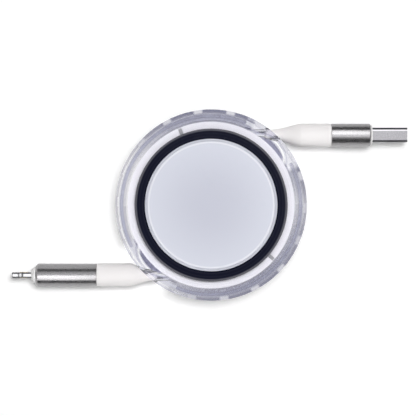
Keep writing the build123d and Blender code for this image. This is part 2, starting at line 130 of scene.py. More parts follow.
class Bench:
    """Hand tools for modelling: each method is one thing done to a mesh by hand."""

    @staticmethod
    def clear() -> None:
        """Leave edit mode and deselect everything."""
        if bpy.context.object is not None and bpy.context.object.mode != "OBJECT":
            bpy.ops.object.mode_set(mode="OBJECT")
        bpy.ops.object.select_all(action="DESELECT")

    @staticmethod
    def adopt(name: str) -> Piece:
        """Name the primitive that was just added and bake its place into its mesh.

        Args:
            name: Piece name, in plain words.

        Returns:
            The new piece, at the origin, unturned and unscaled.
        """
        piece = bpy.context.active_object
        piece.name = name
        piece.data.name = name
        bpy.ops.object.transform_apply(location=True, rotation=True, scale=True)
        return piece

    @staticmethod
    def block(name: str, low: Point, high: Point) -> Piece:
        """Add a cuboid between two corners.

        Args:
            name: Piece name.
            low: Lowest corner in metres.
            high: Highest corner in metres.

        Returns:
            The new piece.
        """
        Bench.clear()
        middle = [(a + b) / 2 for a, b in zip(low, high)]
        size = [b - a for a, b in zip(low, high)]
        bpy.ops.mesh.primitive_cube_add(size=1, location=middle, scale=size)
        return Bench.adopt(name)

    @staticmethod
    @contextmanager
    def editing(piece: Piece, element: Element) -> Iterator[None]:
        """Open a piece in edit mode with all of it selected, and close it afterwards.

        Args:
            piece: The piece to work on.
            element: What selections pick.
        """
        Bench.clear()
        piece.select_set(True)
        bpy.context.view_layer.objects.active = piece
        bpy.ops.object.mode_set(mode="EDIT")
        bpy.ops.mesh.select_mode(type=element.value)
        bpy.ops.mesh.select_all(action="SELECT")
        yield
        bpy.ops.object.mode_set(mode="OBJECT")

    @staticmethod
    def pick(piece: Piece, element: Element, test: PlaceTest) -> None:
        """Select what lies where a test says, and nothing else.

        Args:
            piece: The piece that is open in edit mode.
            element: Whether vertices, edges or faces are tested.
            test: Says whether a middle point is picked.
        """
        bpy.ops.mesh.select_mode(type=element.value)
        bpy.ops.mesh.select_all(action="DESELECT")
        mesh = bmesh.from_edit_mesh(piece.data)
        if element is Element.FACE:
            found = [f for f in mesh.faces if test(f.calc_center_median())]
        elif element is Element.EDGE:
            found = [e for e in mesh.edges if test((e.verts[0].co + e.verts[1].co) / 2)]
        else:
            found = [v for v in mesh.verts if test(v.co)]
        for item in found:
            item.select_set(True)
        mesh.select_flush_mode()
        bmesh.update_edit_mesh(piece.data)

    @staticmethod
    def pull(offset: Vector) -> None:
        """Extrude the selection and move it."""
        bpy.ops.mesh.extrude_region_move(TRANSFORM_OT_translate={"value": offset})

    @staticmethod
    def turn(angle: float, centre: Vector, steps: int) -> None:
        """Spin the selection about an upright line, anticlockwise as seen from above."""
        bpy.ops.mesh.spin(steps=steps, angle=-angle, center=centre, axis=(0, 0, 1))

    @staticmethod
    def strip(name: str, place: Vector, heading: float, size: Span) -> Piece:
        """Add the rounded outline of a flat cable, square to the way that it runs.

        Args:
            name: Piece name.
            place: Middle of the cable.
            heading: Angle of its run from +X, in radians.
            size: Thickness in the plane of the case, and width along Z.

        Returns:
            The outline, as a loop of edges.
        """
        Bench.clear()
        turned = (math.pi / 2, 0, heading + math.pi / 2)
        bpy.ops.mesh.primitive_plane_add(size=1, location=place, rotation=turned)
        bpy.context.active_object.scale = (*size, 1)
        piece = Bench.adopt(name)
        with Bench.editing(piece, Element.VERT):
            bpy.ops.mesh.bevel(offset=JACKET_ROUND * size[0], segments=3, affect="VERTICES")
            bpy.ops.mesh.delete(type="ONLY_FACE")
        return piece

    @staticmethod
    def cap(piece: Piece, test: PlaceTest) -> None:
        """Close an open end whose edges lie where a test says."""
        Bench.pick(piece, Element.EDGE, test)
        bpy.ops.mesh.edge_face_add()

    @staticmethod
    def finish(piece: Piece, smooth_angle: float, material: Finish, slot: Slot) -> None:
        """Merge doubles, turn all faces outwards, shade smoothly and give the finish.

        Args:
            piece: The piece to finish.
            smooth_angle: Largest angle, in degrees, that is shaded smooth.
            material: Its finish.
            slot: The slot of the record that it stands for; not used.
        """
        with Bench.editing(piece, Element.VERT):
            bpy.ops.mesh.remove_doubles(threshold=TOUCH)
            bpy.ops.mesh.normals_make_consistent(inside=False)
        bpy.ops.object.shade_smooth_by_angle(angle=math.radians(smooth_angle))
        piece.data.materials.clear()
        piece.data.materials.append(material)


class Graph:
    """A node tree that is filled by short calls."""

    def __init__(self, tree: Tree) -> None:
        """Take a tree and empty it."""
        self.tree = tree
        tree.nodes.clear()

    def feed(self, node: Node, inputs: dict[str | int, object]) -> None:
        """Fill a node's inputs: a socket is linked, and anything else is set as a plain value.

        Args:
            node: The node.
            inputs: Sockets and values, by the input's name or number.
        """
        for label, source in inputs.items():
            if isinstance(source, Socket):
                self.tree.links.new(source, node.inputs[label])
            else:
                node.inputs[label].default_value = source

    def node(self, kind: str, inputs: dict[str | int, object] | None = None, **settings: object) -> Node:
        """Add a node.

        Args:
            kind: Blender's name for the node type, after the word ShaderNode.
            inputs: What goes into it, by the input's name or number.
            settings: Attributes to set on it.

        Returns:
            The node.
        """
        made = self.tree.nodes.new(f"ShaderNode{kind}")
        for name, value in settings.items():
            setattr(made, name, value)
        self.feed(made, inputs or {})
        return made

    def math(self, operation: str, first: Socket, second: object = 0.0) -> Socket:
        """Add a Math node on a socket and, where it takes two, another socket or a number."""
        return self.node("Math", {0: first, 1: second}, operation=operation).outputs[0]

    def product(self, *factors: Socket) -> Socket:
        """Multiply any number of sockets."""
        return reduce(lambda first, second: self.math("MULTIPLY", first, second), factors)

    def ramp(self, value: Socket, low: object, high: object) -> Socket:
        """Rise smoothly from 0 to 1 as a value goes from one socket or number to another."""
        inputs = {"Value": value, "From Min": low, "From Max": high}
        return self.node("MapRange", inputs, interpolation_type="SMOOTHSTEP").outputs[0]

    def band(self, value: Socket, low: float, high: float, soft: float) -> Socket:
        """Give 1 while a value lies between two numbers, with ends twice as long as soft."""
        start = self.ramp(value, low - soft, low + soft)
        return self.math("SUBTRACT", start, self.ramp(value, high - soft, high + soft))

    def vector(self, operation: str, first: Socket, second: object = (0.0, 0.0, 0.0)) -> Sockets:
        """Add a Vector Math node on a socket and, where it takes two, another; give its outputs."""
        return self.node("VectorMath", {0: first, 1: second}, operation=operation).outputs

    def split(self, place: Socket) -> Sockets:
        """Give a point's X, Y and Z."""
        return self.node("SeparateXYZ", {0: place}).outputs

    def flat(self, place: Socket) -> Socket:
        """Give a point moved down to a height of 0."""
        return self.vector("MULTIPLY", place, (1.0, 1.0, 0.0))[0]

    def radius(self, place: Socket) -> Socket:
        """Give a point's distance from the reel's axis."""
        return self.vector("LENGTH", self.flat(place))["Value"]

    def noise(self, place: Socket, scale: object, detail: float) -> Socket:
        """Add a noise texture and give its grey value."""
        return self.node("TexNoise", {"Vector": place, "Scale": scale, "Detail": detail}).outputs["Fac"]

    def blend(self, share: Socket, first: Socket, second: Socket) -> Socket:
        """Mix two shaders by the share of the second."""
        return self.node("MixShader", {"Fac": share, 1: first, 2: second}).outputs[0]


class Group(Graph):
    """A node group with a Vector input, number inputs and number outputs."""

    def __init__(self, name: str, outputs: tuple[str, ...], **values: float) -> None:
        """Start the group.

        Args:
            name: Group name.
            outputs: Names of the outputs.
            values: The number inputs, with their defaults.
        """
        super().__init__(bpy.data.node_groups.new(name, "ShaderNodeTree"))
        interface = self.tree.interface
        interface.new_socket("Vector", in_out="INPUT", socket_type="NodeSocketVector")
        for label, value in values.items():
            socket = interface.new_socket(label, in_out="INPUT", socket_type="NodeSocketFloat")
            socket.default_value = value
        for label in outputs:
            interface.new_socket(label, in_out="OUTPUT", socket_type="NodeSocketFloat")
        self.given = self.tree.nodes.new("NodeGroupInput").outputs
        self.place = self.given["Vector"]
        self.out = self.tree.nodes.new("NodeGroupOutput")

    def give(self, **outputs: Socket) -> Tree:
        """Link the group's outputs and hand its tree over."""
        self.feed(self.out, outputs)
        return self.tree


class Effects:
    """Shared shader effects, each a node group that is built once."""

    @staticmethod
    @cache
    def grain() -> Tree:
        """Moulded grain: fine spark-eroded height, and slow drifts of tone.

        Returns:
            The group, with outputs Height and Drift.
        """
        group = Group("moulded_grain", ("Height", "Drift"), Fine=4000.0, Slow=90.0)
        return group.give(
            Height=group.noise(group.place, group.given["Fine"], detail=3.0),
            Drift=group.noise(group.place, group.given["Slow"], detail=2.0),
        )

    @staticmethod
    @cache
    def brushing() -> Tree:
        """Brushed lines along X, broken up by fine pits.

        Returns:
            The group, with outputs Lines and Pits.
        """
        group = Group("brushed_lines", ("Lines", "Pits"), Across=9000.0, Along=500.0, Pit=5200.0)
        parts = group.split(group.place)
        scales = {"X": "Along", "Y": "Across", "Z": "Across"}
        scaled = {axis: group.product(parts[axis], group.given[label]) for axis, label in scales.items()}
        stretched = group.node("CombineXYZ", scaled).outputs[0]
        return group.give(
            Lines=group.noise(stretched, 1.0, detail=2.0),
            Pits=group.noise(group.place, group.given["Pit"], detail=1.0),
        )

    @staticmethod
    @cache
    def turning() -> Tree:
        """Rings about the reel's axis, and how far out a point lies.

        Returns:
            The group, with outputs Rings and Reach.
        """
        group = Group("turned_rings", ("Rings", "Reach"), Pitch=0.7 * MM, Inner=0.0, Outer=20.0 * MM)
        radius = group.radius(group.place)
        turns = group.math("DIVIDE", radius, group.given["Pitch"])
        swing = group.math("SINE", group.math("MULTIPLY", turns, math.tau))
        rings = group.node("Math", {0: swing, 1: 0.5, 2: 0.5}, operation="MULTIPLY_ADD")
        reach = group.ramp(radius, group.given["Inner"], group.given["Outer"])
        return group.give(Rings=rings.outputs[0], Reach=reach)

    @staticmethod
    @cache
    def ring_line() -> Tree:
        """A soft line round the reel's axis.

        Returns:
            The group, with output Line.
        """
        group = Group("ring_line", ("Line",), Middle=20.0 * MM, Half=0.2 * MM)
        away = group.math("SUBTRACT", group.radius(group.place), group.given["Middle"])
        share = group.math("DIVIDE", group.math("ABSOLUTE", away), group.given["Half"])
        fade = (1.3, 0.7)
        return group.give(Line=group.ramp(share, *fade))

    @staticmethod
    @cache
    def plug_edges() -> Tree:
        """Where painted shade and a painted highlight line go on a plug's metal: its long corners, by
        distance from the plug's two middle planes.

        Returns:
            The group, with outputs for the corners, which take painted shade, and for a painted highlight
            line beside the one nearer +Y.
        """
        corner_soft = 0.1 * MM
        painted_glint_band = (0.02 * MM, 0.4 * MM, 0.08 * MM)
        group = Group("plug_edges", ("Edge", "Glint"), Side=1.6 * MM, Height=5.4 * MM)
        parts = group.split(group.place)
        side = group.math("SUBTRACT", group.math("ABSOLUTE", parts["Y"]), PLUG_OFFSET)
        height = group.math("SUBTRACT", parts["Z"], HALF_HEIGHT)
        masks = []
        for away, label in ((side, "Side"), (height, "Height")):
            past = group.math("SUBTRACT", group.math("ABSOLUTE", away), group.given[label])
            masks.append(group.ramp(past, 0.0, corner_soft))
        inside = group.math("SUBTRACT", group.given["Side"], side)
        painted_glint = group.product(group.band(inside, *painted_glint_band), masks[1])
        return group.give(Edge=group.product(*masks), Glint=painted_glint)


@dataclass(frozen=True)
class WallZones:
    """Zones of the clear wall's flat ends, where it takes painted shade and painted highlights.

    A span is where a zone fades in, and a band is its start, its end and half of each soft end.
    Most are distances from the reel's axis. The pocket, flare and lip are distances from the middle
    of an outlet's pocket, end_fade is a height from the middle of the case, and the other fades are
    shares. upright_lean weighs a point's X, its Y and the size of its Y.
    """

    end_fade: Span = (2.6 * MM, 6.0 * MM)
    wall: Span = (26.5 * MM, 26.9 * MM)
    upright: Span = (25.9 * MM, 26.9 * MM)
    upright_lean: tuple[float, float, float] = (0.39, 0.22, 0.88)
    groove: Band = (27.6 * MM, 28.75 * MM, 0.1 * MM)
    groove_spared: float = 0.65
    rim: Band = (29.0 * MM, 29.6 * MM, 0.15 * MM)
    rim_fade: Span = (0.8, 0.0)
    rim_least: float = 0.16
    notch: Span = (28.7 * MM, 29.3 * MM)
    notch_count: float = 18.0
    notch_turn: float = math.radians(18.0)
    notch_fade: Span = (0.5, 0.86)
    block: Span = (26.2 * MM, 26.4 * MM)
    block_fade: Span = (0.935, 0.955)
    outlet_angle: float = math.radians(43.0)
    pocket_middle: float = 20.1 * MM
    pocket: Band = (0.0, 7.7 * MM, 0.15 * MM)
    flare: Band = (7.9 * MM, 8.35 * MM, 0.12 * MM)
    lip: Band = (8.8 * MM, 9.1 * MM, 0.1 * MM)

    def _ends(self, group: Group) -> Socket:
        """Rise from 0 about the middle of the case's height to 1 at its flat ends."""
        height = group.math("SUBTRACT", group.split(group.place)["Z"], HALF_HEIGHT)
        return group.ramp(group.math("ABSOLUTE", height), *self.end_fade)

    def bands(self) -> Tree:
        """Build the zones that go all round: the wall, its cored groove, its rim and its notches.

        Upright is how far round a point of the wall lies towards the +Y or -Y side, and a little towards
        +X; it places painted shade.

        Returns:
            The group, with outputs Wall, Groove, Upright, Notch and Rim: where deeper violet and painted
            shade go, and on Rim a painted highlight.
        """
        group = Group("rim_bands", ("Wall", "Groove", "Upright", "Notch", "Rim"))
        radius = group.radius(group.place)
        ends = self._ends(group)
        parts = group.split(group.place)
        x, y = parts["X"], parts["Y"]
        leans = zip((x, y, group.math("ABSOLUTE", y)), self.upright_lean)
        terms = [group.math("MULTIPLY", coordinate, share) for coordinate, share in leans]
        leaning = reduce(lambda first, second: group.math("ADD", first, second), terms)
        # Facing grows towards +Y, then -Y, and a little towards +X; painted shade follows it.
        facing = group.ramp(group.math("DIVIDE", leaning, radius), 0.0, 1.0)
        # Lying is high where facing is low, most towards -X; the rim's painted highlight follows it.
        lying = group.math("MAXIMUM", group.ramp(facing, *self.rim_fade), self.rim_least)
        upright = group.product(facing, group.ramp(radius, *self.upright), ends)
        groove = group.band(radius, *self.groove)
        spared = group.math("ADD", group.math("MULTIPLY", groove, -self.groove_spared), 1.0)
        # Dashes over the notches, kept to where Upright is: painted shade.
        turn = group.math("SUBTRACT", group.math("ARCTAN2", y, x), self.notch_turn)
        teeth = group.math("COSINE", group.math("MULTIPLY", turn, self.notch_count))
        notch = group.product(group.ramp(teeth, *self.notch_fade), group.ramp(radius, *self.notch))
        return group.give(
            Wall=group.product(group.ramp(radius, *self.wall), ends),
            Groove=group.product(groove, ends),
            Upright=group.product(upright, spared),
            Notch=group.product(notch, upright),
            Rim=group.product(group.band(radius, *self.rim), lying, ends),
        )

    def arcs(self) -> Tree:
        """Build the zones of the outlet blocks: the block, and the arcs that nest round its pocket.

        Returns:
            The group, with outputs Block, Pocket, Flare and Lip: painted shade, except a painted highlight
            on Flare.
        """
        group = Group("outlet_arcs", ("Block", "Pocket", "Flare", "Lip"))
        toward = Vector((math.cos(self.outlet_angle), math.sin(self.outlet_angle), 0.0))
        flat, radius = group.flat(group.place), group.radius(group.place)
        along = group.vector("DOT_PRODUCT", flat, toward)["Value"]
        folded = group.vector("MULTIPLY", flat, group.math("SIGN", along))[0]
        reach = group.vector("DISTANCE", folded, toward * self.pocket_middle)["Value"]
        turn = group.math("DIVIDE", group.math("ABSOLUTE", along), radius)
        wall = group.product(group.ramp(radius, *self.block), self._ends(group))
        block = group.product(group.ramp(turn, *self.block_fade), wall)
        arcs = {"Pocket": self.pocket, "Flare": self.flare, "Lip": self.lip}
        zones = {label: group.product(group.band(reach, *arc), block) for label, arc in arcs.items()}
        return group.give(Block=block, **zones)


class Material(Graph):
    """A material under construction, with its Principled shader and output."""

    def __init__(self, name: str) -> None:
        """Start an empty material with one Principled shader.

        Args:
            name: Material name.
        """
        self.finish = bpy.data.materials.new(name)
        self.finish.use_nodes = True
        super().__init__(self.finish.node_tree)
        self.output = self.node("OutputMaterial")
        self.shader = self.node("BsdfPrincipled")
        self.show(self.shader.outputs[0])
        self.place = self.node("TexCoord").outputs["Object"]

    def show(self, surface: Socket) -> None:
        """Make a shader the one that is seen."""
        self.feed(self.output, {"Surface": surface})

    def effect(self, group: Tree, **values: float) -> Sockets:
        """Place an effect that reads the piece's own coordinates, and give its outputs."""
        return self.node("Group", {"Vector": self.place, **values}, node_tree=group).outputs

    def tones(self, first: Colour, *layers: tuple[Socket, Colour]) -> None:
        """Feed the base colour from a first colour with others laid over it.

        Args:
            first: The colour underneath.
            layers: Masks, each with the colour that it lays on.
        """
        below: object = (*first, 1.0)
        self.feed(self.shader, {"Base Color": below})
        for mask, colour in layers:
            mix = self.node("Mix", {"Factor": mask, "A": below, "B": (*colour, 1.0)}, data_type="RGBA")
            below = mix.outputs["Result"]
        self.feed(self.shader, {"Base Color": below})

    def roughness(self, mask: Socket, low: float, high: float) -> None:
        """Feed the roughness from a mask."""
        span = self.node("MapRange", {"Value": mask, "To Min": low, "To Max": high})
        self.feed(self.shader, {"Roughness": span.outputs[0]})

    def relief(self, height: Socket, depth: float) -> None:
        """Feed the normal from a height, after any relief that is there already.

        Args:
            height: Height mask from 0 to 1.
            depth: What a mask of 1 stands for, in metres.
        """
        bump = self.node("Bump", {"Strength": 1.0, "Distance": depth, "Height": height})
        normal = self.shader.inputs["Normal"]
        if normal.is_linked:
            self.feed(bump, {"Normal": normal.links[0].from_socket})
        self.feed(self.shader, {"Normal": bump.outputs[0]})


@dataclass(frozen=True)
class MouldedPlastic:
    """Opaque moulded plastic or rubber with a fine grain and slow drifts of tone."""

    name: str
    colour: Colour
    drift: Colour
    roughness: Span
    depth: float = 0.004 * MM

    def make(self) -> Finish:
        """Build the material.

        Returns:
            The material.
        """
        made = Material(self.name)
        grain = made.effect(Effects.grain())
        made.tones(self.colour, (grain["Drift"], self.drift))
        made.roughness(grain["Drift"], *self.roughness)
        made.relief(grain["Height"], self.depth)
        return made.finish


@dataclass(frozen=True)
class TurnedPlastic:
    """Moulded plastic whose tool was turned, so it shows fine rings about the axis, with a colour that
    shifts outwards and soft lines that paint shade and highlights.
    """

    name: str
    inner_colour: Colour
    outer_colour: Colour
    inner: float
    outer: float
    pitch: float
    depth: float
    roughness: Span
    coat: float = 0.0
    coat_roughness: float = 0.05
    specular: float = 0.5
    grain_scale: float = 5000.0
    grain_depth: float = 0.001 * MM
    lines: tuple[tuple[float, float, Colour], ...] = ()

    def make(self) -> Finish:
        """Build the material.

        Returns:
            The material.
        """
        made = Material(self.name)
        grain = made.effect(Effects.grain(), Fine=self.grain_scale)
        turned = made.effect(Effects.turning(), Pitch=self.pitch, Inner=self.inner, Outer=self.outer)
        layers = [(turned["Reach"], self.outer_colour)]
        for middle, half, colour in self.lines:
            line = made.effect(Effects.ring_line(), Middle=middle, Half=half)
            layers.append((line["Line"], colour))
        made.tones(self.inner_colour, *layers)
        made.roughness(grain["Drift"], *self.roughness)
        made.relief(turned["Rings"], self.depth)
        made.relief(grain["Height"], self.grain_depth)
        made.feed(made.shader, {
            "Coat Weight": self.coat,
            "Coat Roughness": self.coat_roughness,
            "Specular IOR Level": self.specular,
        })
        return made.finish


@dataclass(frozen=True)
class BrushedMetal:
    """Metal with brushed lines along X and fine pits, and on plugs painted shade on the long corners and a
    painted highlight line.
    """

    name: str
    colour: Colour
    dark: Colour
    roughness: Span
    along: float = 500.0
    line_depth: float = 0.003 * MM
    pit_depth: float = 0.004 * MM
    edge: Span | None = None
    edge_colour: Colour = (0.1, 0.1, 0.11)
    glint_colour: Colour | None = None

    def make(self) -> Finish:
        """Build the material.

        Returns:
            The material.
        """
        made = Material(self.name)
        brushed = made.effect(Effects.brushing(), Along=self.along)
        layers = [(brushed["Pits"], self.colour)]
        # Painted shade on a plug's long corners, and a painted highlight line beside the +Y one.
        if self.edge:
            lines = made.effect(Effects.plug_edges(), Side=self.edge[0], Height=self.edge[1])
            layers.append((lines["Edge"], self.edge_colour))
            if self.glint_colour:
                layers.append((lines["Glint"], self.glint_colour))
        made.tones(self.dark, *layers)
        made.roughness(brushed["Lines"], *self.roughness)
        made.relief(brushed["Lines"], self.line_depth)
        made.relief(brushed["Pits"], self.pit_depth)
        made.feed(made.shader, {"Metallic": 1.0})
        return made.finish


@dataclass(frozen=True)
class ClearPlastic:
    """Clear, faintly violet plastic that lets lamps through to what it holds, with painted shade and
    painted highlights in zones of its flat ends.
    """

    name: str
    plate_tint: Colour
    wall_tint_and_shade: Colour
    groove_painted_shade: Colour
    upright_painted_shade: Colour
    block_painted_shade: Colour
    arc_painted_shade: Colour
    flare_painted_highlight: Colour
    rim_painted_highlight: Colour
    notch_painted_shade: Colour
    plate_shade: float
    wall_shade: float
    ior: float
    roughness: Span
    drift_scale: float = 60.0

    def make(self) -> Finish:
        """Build the material.

        Returns:
            The material.
        """
        made = Material(self.name)
        zones = WallZones()
        grain = made.effect(Effects.grain(), Slow=self.drift_scale)
        bands = made.effect(zones.bands())
        arcs = made.effect(zones.arcs())
        # Over the violet plate: the wall's deeper violet with painted shade, then painted shade and painted
        # highlights zone by zone.
        made.tones(
            self.plate_tint,
            (bands["Wall"], self.wall_tint_and_shade),
            (bands["Groove"], self.groove_painted_shade),
            (bands["Upright"], self.upright_painted_shade),
            (arcs["Block"], self.block_painted_shade),
            (arcs["Pocket"], self.arc_painted_shade),
            (arcs["Flare"], self.flare_painted_highlight),
            (arcs["Lip"], self.arc_painted_shade),
            (bands["Rim"], self.rim_painted_highlight),
            (bands["Notch"], self.notch_painted_shade),
        )
        made.roughness(grain["Drift"], *self.roughness)
        made.feed(made.shader, {"Transmission Weight": 1.0, "IOR": self.ior})
        thick = made.math("SUBTRACT", bands["Wall"], arcs["Block"])
        shades = {"To Min": self.plate_shade, "To Max": self.wall_shade}
        shade = made.node("MapRange", {"Value": thick, **shades})
        passing = made.node("BsdfTransparent", {"Color": shade.outputs[0]})
        shadow = made.node("LightPath").outputs["Is Shadow Ray"]
        made.show(made.blend(shadow, made.shader.outputs[0], passing.outputs[0]))
        return made.finish


@dataclass(frozen=True)
class FloorPaper:
    """White studio paper that takes the shadow and still shows as white."""

    name: str
    colour: Colour
    near_glow: float
    far_glow: float
    far_reach: float
    through_share: float
    roughness: float = 0.9

    def make(self) -> Finish:
        """Build the material, with a glow that makes up for the lamp's fall away from the object.

        Returns:
            The material.
        """
        made = Material(self.name)
        path = made.node("LightPath").outputs
        far = made.ramp(made.vector("LENGTH", made.place)["Value"], 0.0, self.far_reach)
        glow = made.math("ADD", made.math("MULTIPLY", far, self.far_glow), self.near_glow)
        made.feed(made.shader, {
            "Base Color": (*self.colour, 1.0),
            "Roughness": self.roughness,
            "Specular IOR Level": 0.0,
            "Emission Color": (1.0, 1.0, 1.0, 1.0),
            "Emission Strength": made.product(glow, path["Is Camera Ray"]),
        })
        white = made.node("Emission").outputs[0]
        through = made.math("MULTIPLY", path["Is Transmission Ray"], self.through_share)
        made.show(made.blend(through, made.shader.outputs[0], white))
        return made.finish


@dataclass
class TrimFace:
    """White disc and black ring set into one end face of the case."""

    face: Face
    sides: int = 160
    disc_edge: tuple[Span, ...] = (
        (0.45 * MM, 0.2 * MM), (0.15 * MM, -0.08 * MM), (0.2 * MM, 0.16 * MM), (0.3 * MM, 0.02 * MM)
    )
    disc_crown: float = 0.06 * MM
    ring_bevel_width: float = 0.85 * MM
    ring_bevel_drop: float = 0.45 * MM
    bore_gap: float = 0.08 * MM
    bore_pick: float = 0.02 * MM
    round_steps: int = 5
    crown_steps: int = 5
    smooth_angle: float = 35.0

    def _box(self, kind: str) -> tuple[Vector, Vector]:
        """Give the corners of this face's disc or ring."""
        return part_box(f"{self.face.name.lower()}_{kind}")

    def _blank(self, kind: str, drop: float) -> Piece:
        """Start a round piece that ends below its rounded edge.

        Args:
            kind: disc or ring.
            drop: How far the rounded edge falls.

        Returns:
            The cylinder.
        """
        low, high = self._box(kind)
        top = high.z - drop if self.face is Face.TOP else high.z
        bottom = low.z if self.face is Face.TOP else low.z + drop
        middle = (0, 0, (bottom + top) / 2)
        Bench.clear()
        bpy.ops.mesh.primitive_cylinder_add(
            vertices=self.sides, radius=high.x, depth=top - bottom, location=middle
        )
        return Bench.adopt(f"{self.face.name.lower()}_{kind}_piece")

    def _pick_cap(self, piece: Piece, outer: bool) -> None:
        """Select the flat end that looks out of the case, or the one on its seat.

        Args:
            piece: The disc or ring, open in edit mode.
            outer: Whether the end that looks out is the one.
        """
        way = self.face.value
        heights = [v.co.z * way for v in piece.data.vertices]
        level = max(heights) if outer else min(heights)
        Bench.pick(piece, Element.FACE, lambda p: abs(p.z * way - level) < TOUCH and p.xy.length < MM)

    def _round_over(self, width: float, drop: float) -> None:
        """Inset the selected end in steps that follow a quarter of an ellipse.

        Args:
            width: How far the rounding reaches in.
            drop: How far it rises.
        """
        for step in range(self.round_steps):
            a = step / self.round_steps * math.pi / 2
            b = (step + 1) / self.round_steps * math.pi / 2
            inward = width * (math.cos(a) - math.cos(b))
            upward = drop * (math.sin(b) - math.sin(a))
            bpy.ops.mesh.inset(thickness=inward, depth=upward)

    def disc(self, material: Finish) -> Piece:
        """Model the white disc: a stepped edge with a fine groove, then a slight crown.

        Args:
            material: Its finish.

        Returns:
            The piece.
        """
        drop = sum(rise for _, rise in self.disc_edge)
        piece = self._blank("disc", drop + self.disc_crown)
        radius = self._box("disc")[1].x - sum(inward for inward, _ in self.disc_edge)
        ring_width = radius / (self.crown_steps + 1)
        with Bench.editing(piece, Element.FACE):
            self._pick_cap(piece, outer=True)
            for inward, rise in self.disc_edge:
                bpy.ops.mesh.inset(thickness=inward, depth=rise)
            for step in range(self.crown_steps):
                slope = (1 - (step + 0.5) / self.crown_steps) * 2
                bpy.ops.mesh.inset(thickness=ring_width, depth=self.disc_crown / self.crown_steps * slope)
        Bench.finish(piece, self.smooth_angle, material, Slot.DISC)
        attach(piece, Body.CASE.value)
        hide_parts(f"{self.face.name.lower()}_disc")
        return piece

    def ring(self, material: Finish) -> Piece:
        """Model the black ring: rounded outside, flat top and a bore for the disc.

        Args:
            material: Its finish.

        Returns:
            The piece.
        """
        piece = self._blank("ring", self.ring_bevel_drop)
        outer = self._box("ring")[1].x
        bore = self._box("disc")[1].x + self.bore_gap
        with Bench.editing(piece, Element.FACE):
            self._pick_cap(piece, outer=True)
            self._round_over(self.ring_bevel_width, self.ring_bevel_drop)
            bpy.ops.mesh.inset(thickness=outer - self.ring_bevel_width - bore, depth=0)
            bpy.ops.mesh.delete(type="FACE")
        with Bench.editing(piece, Element.FACE):
            self._pick_cap(piece, outer=False)
            bpy.ops.mesh.inset(thickness=outer - bore, depth=0)
            bpy.ops.mesh.delete(type="FACE")
            Bench.pick(piece, Element.EDGE, lambda p: abs(p.xy.length - bore) < self.bore_pick)
            bpy.ops.mesh.bridge_edge_loops()
        Bench.finish(piece, self.smooth_angle, material, Slot.RING)
        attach(piece, Body.CASE.value)
        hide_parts(f"{self.face.name.lower()}_ring")
        return piece


